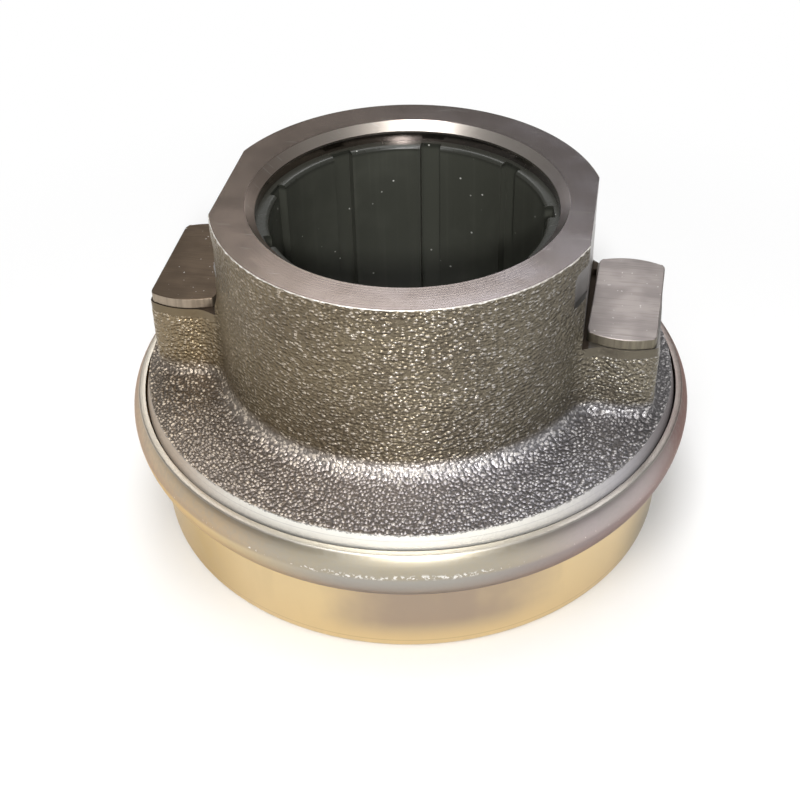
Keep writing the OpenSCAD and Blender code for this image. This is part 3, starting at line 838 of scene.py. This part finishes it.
class BEARING_OT_carrier(bpy.types.Operator):
    """Casts the carrier, then turns its bore, rim and top and mills its flats, slots and notches"""

    bl_idname = "bearing.carrier"
    bl_label = "Cast Carrier"

    TURNED, MILLED, BURR, RIM = range(1, 5)
    FINE_GRAIN = (0.06, 1.4)
    SLOW_GRAIN = (0.1, 8.0)
    TORN_GRAIN = (0.14, 1.1)

    def lug(self, sizes, side, foot_r, base_z, top_z):
        """One fork lug, with the webs that blend it into the foot of the collar."""
        pad_x = pad_centre("wear_pad_right")
        collar_side = foot_r + sizes.web_r
        lug_side = sizes.lug_r + sizes.web_r
        web_x = (collar_side ** 2 - lug_side ** 2 + pad_x ** 2) / (2 * pad_x)
        web = Vector((web_x, math.sqrt(collar_side ** 2 - web_x ** 2)))
        on_collar = web * foot_r / collar_side
        pad = Vector((pad_x, 0.0))
        on_lug = pad + (web - pad) * sizes.lug_r / lug_side
        half = [(sizes.bore_r, 0.0), (pad_x, 0.0), tuple(on_lug), tuple(on_collar)]
        bm = bmesh.new()
        slab(bm, sizes.lug_r, -pad_x + sizes.bore_r, sizes.lug_out, top_z - base_z, base_z)
        bmesh.ops.translate(bm, verts=bm.verts[:], vec=(pad_x, 0, 0))
        for turn_y in (-1, 1):
            prism(bm, [(x, y * turn_y) for x, y in half], top_z - base_z, base_z)
        bmesh.ops.scale(bm, verts=bm.verts[:], vec=(side, 1, 1))
        bmesh.ops.recalc_face_normals(bm, faces=bm.faces[:])
        return bm

    def casting(self, sizes):
        """The rough casting, oversize where it is machined, with a grained skin and soft fillets."""
        over = 2.5 * MM
        flange_z = high("inner_ring")
        top_z = high("carrier_sleeve") + over
        seat_z = low("wear_pad_right") + over
        rim_r = reach("carrier_sleeve") + over
        edge_r = reach("carrier_sleeve") - sizes.bevel_w
        foot_r = sizes.collar_r + (top_z - sizes.flange_edge_z) * math.tan(sizes.collar_draft)
        top_r = sizes.collar_r - over * math.tan(sizes.collar_draft)
        slope = sizes.flange_rise / (edge_r - foot_r)
        base_z = flange_z - over
        spigot_r = sizes.spigot_r + over
        spigot_z = low("carrier_sleeve") - over
        bm, verts = outline([
            (0.0, spigot_z),
            (spigot_r, spigot_z),
            (spigot_r, base_z),
            (rim_r, base_z),
            (rim_r, sizes.flange_edge_z - slope * (rim_r - edge_r)),
            (foot_r, sizes.flange_edge_z + sizes.flange_rise),
            (top_r, top_z),
            (0.0, top_z),
        ])
        round_corners(bm, [verts[5]], sizes.collar_fillet, 8)
        turn(bm)
        for side in (-1, 1):
            join(bm, self.lug(sizes, side, foot_r, base_z, seat_z))
        made = make_object("carrier_casting", bm)
        remesh = made.modifiers.new("skin", "REMESH")
        remesh.mode = "VOXEL"
        remesh.voxel_size = sizes.voxel
        soften = made.modifiers.new("fillets", "SMOOTH")
        soften.factor = 0.5
        soften.iterations = 24
        apply_modifiers(made)
        self.grain(made, sizes)
        return made

    def bumps(self, spot, height, size):
        """Height in millimetres of a grain of one height and size, at a spot in millimetres."""
        return height * noise.noise(spot / size)

    def grain(self, made, sizes):
        """Roughens the casting's skin, most at its torn top edge, and sinks the band round each lug."""
        band_z = low("wear_pad_right") - sizes.band_h
        torn_z = high("carrier_sleeve") - 1.5 * MM
        bm = bmesh.new()
        bm.from_mesh(made.data)
        bm.normal_update()
        for vert in bm.verts:
            spot = vert.co / MM
            rise = (self.bumps(spot, *self.FINE_GRAIN) + self.bumps(spot, *self.SLOW_GRAIN)) * MM
            if vert.co.z > torn_z:
                rise += self.bumps(spot, *self.TORN_GRAIN) * MM
            elif vert.co.z > band_z and abs(vert.co.x) > sizes.flat_x:
                rise = -sizes.band_sink
            vert.co += vert.normal * rise
        bm.to_mesh(made.data)
        bm.free()

    def lathe_tool(self, sizes):
        """The turned form: bore, spigot, flange rim and top, open to the cast walls in between."""
        wide = 75 * MM
        bottom = low("carrier_sleeve")
        top = high("carrier_sleeve")
        rim = reach("carrier_sleeve")
        bevel_z = sizes.flange_edge_z - sizes.bevel_h
        clear = 1.2 * MM
        bevel_end = rim - sizes.bevel_w * (sizes.bevel_h + clear) / sizes.bevel_h
        chamfer = sizes.spigot_chamfer
        break_r = sizes.collar_r - sizes.edge_break
        bm, _ = outline([
            (sizes.bore_r, bottom + chamfer),
            (sizes.bore_r + chamfer, bottom),
            (sizes.spigot_r - chamfer, bottom),
            (sizes.spigot_r, bottom + chamfer),
            (sizes.spigot_r, high("inner_ring")),
            (rim, high("inner_ring")),
            (rim, bevel_z),
            (bevel_end, sizes.flange_edge_z + clear),
            (wide, sizes.flange_edge_z + clear),
            (wide, top - (wide - break_r)),
            (break_r, top),
            (sizes.bore_r + sizes.bore_chamfer, top),
            (sizes.bore_r, top - sizes.bore_chamfer),
        ])
        turn(bm)
        for face in bm.faces:
            middle = face.calc_center_median()
            face.material_index = self.TURNED
            if middle.xy.length > break_r + NEARLY and middle.z > low("wear_pad_right"):
                face.material_index = self.BURR
            elif bevel_z < middle.z < sizes.flange_edge_z + clear and middle.xy.length > bevel_end:
                face.material_index = self.RIM
        return make_object("lathe", bm)

    def mill_tool(self, sizes):
        """The cutter's path above both pad seats, up to the flats of the collar."""
        seat = low("wear_pad_right")
        wide = 80 * MM
        return self.side_boxes("mill", sizes.flat_x, sizes.flat_x + wide, 2 * wide, seat, seat + wide)

    def slot_tool(self, sizes):
        """The slot between each wear pad and its flat."""
        seat = low("wear_pad_right")
        bottom, top = seat - sizes.slot_depth, seat + sizes.slot_w
        far = sizes.flat_x + sizes.slot_w
        return self.side_boxes("slot", sizes.flat_x, far, sizes.slot_run, bottom, top)

    def side_boxes(self, name, near, far, run, bottom, top):
        """Two boxes, one on each side of the collar."""
        bm = bmesh.new()
        size = Matrix.Diagonal((far - near, run, top - bottom, 1))
        for side in (-1, 1):
            place = Matrix.Translation((side * (near + far) / 2, 0, (bottom + top) / 2))
            bmesh.ops.create_cube(bm, size=1.0, matrix=place @ size)
        return self.tool(name, bm)

    def notch_tool(self, sizes):
        """The four shallow notches that run from the edges of the flats round the collar."""
        turned = math.acos(sizes.flat_x / sizes.collar_r)
        tall, wide = sizes.notch_h, sizes.notch_reach
        thick = 4 * MM
        bottom = high("carrier_sleeve") - sizes.notch_lip - tall
        notches = bmesh.new()
        for side in (0.0, math.pi):
            for corner in (-1, 1):
                bm = bmesh.new()
                ends = ((-wide, 0.0), (wide, 0.0), (wide, tall), (-wide, tall))
                verts = [bm.verts.new((0.0, y, z)) for y, z in ends]
                bm.faces.new(verts)
                round_corners(bm, [verts[2] if corner > 0 else verts[3]], sizes.notch_r, 6)
                extrude(bm, bm.faces[:][0], (thick, 0, 0))
                place = Matrix.Rotation(side + corner * turned, 4, "Z")
                place = place @ Matrix.Translation((sizes.collar_r - sizes.notch_depth, 0, bottom))
                bmesh.ops.transform(bm, matrix=place, verts=bm.verts[:])
                join(notches, bm)
        return self.tool("notch", notches)

    def crisp_cuts(self, made):
        """Keeps machined faces flat and the borders between finishes sharp."""
        bm = bmesh.new()
        bm.from_mesh(made.data)
        for edge in bm.edges:
            finishes = {face.material_index for face in edge.link_faces}
            folded = finishes == {self.MILLED} and edge.calc_face_angle(0.0) > FOLD_ANGLE
            if len(finishes) > 1 or folded:
                edge.smooth = False
        bm.to_mesh(made.data)
        bm.free()

    def tool(self, name, bm):
        """A milling tool, whose cuts are milled faces."""
        bmesh.ops.recalc_face_normals(bm, faces=bm.faces[:])
        for face in bm.faces:
            face.material_index = self.MILLED
        return make_object(name, bm)

    def execute(self, context):
        sizes = context.scene.bearing.carrier
        made = self.casting(sizes)
        for finish in (cast_skin, turned_iron, milled_iron, burr_iron, rim_iron):
            made.data.materials.append(finish(sizes))
        lathe = self.lathe_tool(sizes)
        tools = [lathe, self.mill_tool(sizes), self.slot_tool(sizes), self.notch_tool(sizes)]
        for tool in tools:
            for material in made.data.materials:
                tool.data.materials.append(material)
            cut(made, tool, "INTERSECT" if tool is lathe else "DIFFERENCE")
        apply_modifiers(made, *tools)
        dress(made, "carrier", "cast_iron", "carrier_sleeve")
        self.crisp_cuts(made)
        return {"FINISHED"}


class BEARING_OT_bush(bpy.types.Operator):
    """Moulds the grooved bush"""

    bl_idname = "bearing.bush"
    bl_label = "Guide Bush"

    def execute(self, context):
        sizes = context.scene.bearing.bush
        bottom, top = low("guide_bush"), high("guide_bush")
        bm, verts = outline([
            (sizes.bore_r, bottom),
            (reach("guide_bush"), bottom),
            (reach("guide_bush"), top),
            (sizes.bore_r, top),
        ])
        round_corners(bm, [verts[0], verts[3]], sizes.lead_in)
        turn(bm)
        made = make_object("bush_liner", bm, [bush_plastic(sizes)])
        grooves = bmesh.new()
        depth = 2 * sizes.groove_depth
        side = Matrix.Diagonal((depth, sizes.groove_w, top - bottom + 2 * depth, 1))
        place = Matrix.Translation((sizes.bore_r, 0, (top + bottom) / 2))
        bmesh.ops.create_cube(grooves, size=1.0, matrix=Matrix.Rotation(math.pi / 2, 4, "Z") @ place @ side)
        bmesh.ops.spin(grooves, geom=grooves.faces[:], cent=(0, 0, 0), axis=(0, 0, 1), dvec=(0, 0, 0),
                       angle=math.tau * (1 - 1 / sizes.groove_n), steps=sizes.groove_n - 1,
                       use_duplicate=True)
        bmesh.ops.recalc_face_normals(grooves, faces=grooves.faces[:])
        tool = make_object("groove_cutter", grooves)
        cut(made, tool, "DIFFERENCE")
        apply_modifiers(made, tool)
        dress(made, "carrier", "bush_plastic", "guide_bush")
        return {"FINISHED"}


class BEARING_OT_pads(bpy.types.Operator):
    """Mills the two wear pads"""

    bl_idname = "bearing.pads"
    bl_label = "Wear Pads"

    def execute(self, context):
        sizes = context.scene.bearing.pads
        for name, side, angle in (("left", -1, sizes.left_turn), ("right", 1, sizes.right_turn)):
            node = "wear_pad_" + name
            thick = high(node) - low(node)
            bm = bmesh.new()
            slab(bm, sizes.end_r, -sizes.width / 2, sizes.width / 2, thick, 0.0)
            uprights = [e for e in bm.edges
                        if abs(e.verts[0].co.z - e.verts[1].co.z) > thick / 2
                        and abs(abs(e.verts[0].co.x) - sizes.width / 2) < NEARLY]
            bevel(bm, uprights, sizes.corner_r, 9)
            rims = [e for e in bm.edges if e.calc_face_angle() > RIM_ANGLE]
            bevel(bm, rims, sizes.edge_r, 3)
            place = Matrix.Translation((side * pad_centre(node), 0, low(node)))
            place = place @ Matrix.Rotation(angle, 4, "Z")
            bmesh.ops.transform(bm, matrix=place, verts=bm.verts[:])
            bmesh.ops.recalc_face_normals(bm, faces=bm.faces[:])
            made = make_object("pad_" + name, bm, [pad_steel(sizes, name, high(node))])
            dress(made, "carrier", "wear_pad_steel", node, angle=FLAT_ANGLE)
        return {"FINISHED"}


class BEARING_OT_thrust_ring(bpy.types.Operator):
    """Turns the thrust ring"""

    bl_idname = "bearing.thrust_ring"
    bl_label = "Thrust Ring"

    def execute(self, context):
        sizes = context.scene.bearing.ring
        outer = reach("outer_ring")
        bottom, top = low("outer_ring"), high("outer_ring")
        taper_z = low("dust_cover") - 1.0 * MM
        chamfer = 0.6 * MM
        inner_z = sizes.ball_z - math.sqrt(sizes.race_r ** 2 - (sizes.pitch_r - sizes.floor_r) ** 2)
        lip_z = sizes.ball_z + math.sqrt(sizes.race_r ** 2 - (sizes.lip_r - sizes.pitch_r) ** 2)
        bm, verts = outline([
            (sizes.floor_r + chamfer, bottom),
            (outer - sizes.taper, bottom),
            (outer, taper_z),
            (outer, top),
            (sizes.lip_r, top),
            (sizes.lip_r, lip_z),
        ])
        race_start = verts[-1]
        open_edge = next(e for e in race_start.link_edges if verts[0] in e.verts)
        bm.edges.remove(open_edge)
        start = math.atan2(lip_z - sizes.ball_z, sizes.lip_r - sizes.pitch_r)
        end = math.atan2(inner_z - sizes.ball_z, sizes.floor_r - sizes.pitch_r)
        race_end = swing(bm, race_start, (sizes.pitch_r, 0, sizes.ball_z), (0, 1, 0), start - end, 16)
        foot = bm.verts.new((sizes.floor_r, 0, bottom + chamfer))
        bm.edges.new((race_end, foot))
        bm.edges.new((foot, verts[0]))
        round_corners(bm, [verts[1]], sizes.edge_r, 8)
        turn(bm)
        made = make_object("thrust_ring", bm, [ring_steel(sizes)])
        dress(made, "thrust_race", "thrust_ring_steel", "outer_ring")
        return {"FINISHED"}


class BEARING_OT_cover(bpy.types.Operator):
    """Rolls the dust cover from sheet"""

    bl_idname = "bearing.cover"
    bl_label = "Dust Cover"

    def execute(self, context):
        sizes = context.scene.bearing.ring
        ridge_r = reach("dust_cover")
        lip_in = reach("carrier_sleeve") + sizes.lip_gap
        ring_in = reach("outer_ring") + sizes.seat_gap
        rolls = ((lip_in, high("dust_cover"), -1), (ring_in, low("dust_cover"), 1))
        bm = bmesh.new()
        ends = []
        for inner, end_z, side in rolls:
            inset = ridge_r - inner
            rise = abs(end_z - sizes.ridge_z)
            bend = (inset ** 2 - sizes.cover_t ** 2 + rise ** 2) / (2 * (inset - sizes.cover_t))
            centre = (ridge_r - bend, 0, sizes.ridge_z)
            for radius in (bend, bend - sizes.cover_t):
                start = bm.verts.new((ridge_r - bend + radius, 0, sizes.ridge_z))
                ends.append(swing(bm, start, centre, (0, side, 0), math.asin(rise / radius), 12))
        for a, b in (ends[:2], ends[2:]):
            bm.edges.new((a, b))
        bmesh.ops.remove_doubles(bm, verts=bm.verts[:], dist=WELD)
        round_corners(bm, ends, sizes.cover_edge, 3)
        turn(bm)
        made = make_object("rim_cover", bm, [cover_steel(sizes)])
        dress(made, "thrust_race", "cover_steel", "dust_cover")
        return {"FINISHED"}


class BEARING_OT_inside(bpy.types.Operator):
    """Finishes the pieces inside: the inner ring, the seal, the cage and the balls"""

    bl_idname = "bearing.inside"
    bl_label = "Inner Pieces"

    def execute(self, context):
        tones = context.scene.bearing.inside
        nodes = frame["nodes"]
        finishes = {
            "inner_ring": ground_steel("inner_ring_steel", tones.steel, 0.25),
            "ball_cage": moulded("cage_plastic", tones.cage, 0.4),
            "front_seal": moulded("seal_rubber", tones.rubber, 0.55),
        }
        polished = ground_steel("ball_steel", tones.ball, 0.08)
        for name, node in nodes.items():
            finish = polished if name.startswith("ball_") and name != "ball_cage" else finishes.get(name)
            if finish:
                node.data.materials.clear()
                node.data.materials.append(finish)
        return {"FINISHED"}


class BEARING_OT_stage(bpy.types.Operator):
    """Sets up the pale floor, the soft light and the camera"""

    bl_idname = "bearing.stage"
    bl_label = "Studio Stage"

    # Name, azimuth and elevation in degrees, distance and size in metres, power in watts
    LAMPS = (
        ("key", 14, 32.5, 0.9, 0.08, 4.4),
        ("soft", -8, 61, 0.9, 0.35, 2.5),
        ("top", 0, 86, 0.9, 0.35, 1.8),
        ("front", 5, 9, 1.0, 0.7, 1.6),
        ("back", 190, 55.5, 0.9, 0.44, 1.9),
    )
    FLOOR_HALF = 20.0
    SENSOR_WIDTH = 36.0
    HORIZON = (0.03, 0.2)

    def lamp(self, name, azimuth, elevation, distance, size, power):
        """A square soft box that looks at the part; azimuth 0 is the front and 90 the right."""
        light = bpy.data.lights.new(name, "AREA")
        light.energy = power
        light.size = size
        made = bpy.data.objects.new(name, light)
        turned = Matrix.Rotation(math.radians(azimuth), 4, "Z")
        tilted = Matrix.Rotation(math.radians(90 - elevation), 4, "X")
        made.matrix_world = turned @ tilted @ Matrix.Translation((0, 0, distance))
        bpy.context.scene.collection.objects.link(made)

    def floor(self, sizes):
        """A pale floor under the part."""
        bm = bmesh.new()
        bmesh.ops.create_grid(bm, x_segments=1, y_segments=1, size=self.FLOOR_HALF)
        bmesh.ops.translate(bm, verts=bm.verts[:], vec=(0, 0, CAD_BOX[0].z))
        pale = Finish("pale_floor", Roughness=0.9, Base_Color=(*sizes.floor, 1.0))
        rays = ("Is Camera Ray", "Is Glossy Ray", "Is Transmission Ray")
        camera, glossy, clear = (pale.node("ShaderNodeLightPath", out=ray) for ray in rays)
        white = pale.node("ShaderNodeEmission", None, {"Color": (*WHITE, 1.0), "Strength": 1.0})
        lit = Value(pale, pale.shader.outputs["BSDF"])
        far = pale.step(pale.radius, sizes.floor_near, sizes.floor_far)
        seen = far * (camera + glossy + clear)
        surface = pale.node("ShaderNodeMixShader", None, {0: seen, 1: lit, 2: white})
        pale.link(surface, pale.tree.nodes["Material Output"].inputs["Surface"])
        make_object("floor", bm, [pale.material])

    def camera(self, sizes):
        """The camera, at the photograph's viewing angle."""
        lens = bpy.data.cameras.new("view")
        lens.lens = sizes.focal
        lens.sensor_width = self.SENSOR_WIDTH
        lens.shift_x = sizes.shift_x
        lens.shift_y = sizes.shift_y
        lens.clip_start = 0.01
        made = bpy.data.objects.new("view", lens)
        made.matrix_world = (
            Matrix.Translation((0, 0, sizes.target_z))
            @ Matrix.Rotation(sizes.azimuth, 4, "Z")
            @ Matrix.Rotation(math.pi / 2 - sizes.elevation, 4, "X")
            @ Matrix.Rotation(sizes.roll, 4, "Z")
            @ Matrix.Translation((0, 0, sizes.distance))
        )
        bpy.context.scene.collection.objects.link(made)
        bpy.context.scene.camera = made

    def room(self, sizes):
        """Soft light from the room, white along the horizon where the floor ends."""
        world = bpy.data.worlds.new("room")
        world.use_nodes = True
        sky = Nodes(world.node_tree)
        height = sky.part(sky.node("ShaderNodeTexCoord", out="Generated"), "Z")
        start, end = self.HORIZON
        fade = sky.node("ShaderNodeMapRange", None, {"Value": height, "From Min": start, "From Max": end})
        sky.link(sky.mix(fade, WHITE, sizes.sky), sky.tree.nodes["Background"].inputs["Color"])
        bpy.context.scene.world = world

    def execute(self, context):
        sizes = context.scene.bearing.stage
        context.scene.view_settings.view_transform = "Standard"
        self.floor(sizes)
        self.camera(sizes)
        self.room(sizes)
        for lamp in self.LAMPS:
            self.lamp(*lamp)
        return {"FINISHED"}


OPERATORS = (
    BEARING_OT_carrier,
    BEARING_OT_bush,
    BEARING_OT_pads,
    BEARING_OT_thrust_ring,
    BEARING_OT_cover,
    BEARING_OT_inside,
    BEARING_OT_stage,
)


class BEARING_PT_panel(bpy.types.Panel):
    """Lists the pieces of the bearing and their settings"""

    bl_idname = "BEARING_PT_panel"
    bl_label = "Release Bearing"
    bl_space_type = "VIEW_3D"
    bl_region_type = "UI"
    bl_category = "Bearing"

    def draw(self, context):
        settings = context.scene.bearing
        for operator in OPERATORS:
            self.layout.operator(operator.bl_idname)
        for name in settings.bl_rna.properties.keys():
            group = getattr(settings, name)
            if isinstance(group, bpy.types.PropertyGroup):
                box = self.layout.box()
                box.label(text=name.capitalize())
                for size in group.__annotations__:
                    box.prop(group, size)


CLASSES = (
    BEARING_PG_carrier,
    BEARING_PG_bush,
    BEARING_PG_pads,
    BEARING_PG_ring,
    BEARING_PG_inside,
    BEARING_PG_stage,
    BEARING_PG_settings,
    *OPERATORS,
    BEARING_PT_panel,
)


def register():
    """Registers the classes and the scene's settings."""
    for cls in CLASSES:
        bpy.utils.register_class(cls)
    bpy.types.Scene.bearing = PointerProperty(type=BEARING_PG_settings)


def unregister():
    """Removes the scene's settings and the classes."""
    del bpy.types.Scene.bearing
    for cls in reversed(CLASSES):
        bpy.utils.unregister_class(cls)


def main():
    """Builds every piece and the stage."""
    register()
    bpy.ops.bearing.carrier()
    bpy.ops.bearing.bush()
    bpy.ops.bearing.pads()
    bpy.ops.bearing.thrust_ring()
    bpy.ops.bearing.cover()
    bpy.ops.bearing.inside()
    bpy.ops.bearing.stage()


if __name__ == "__main__":
    main()
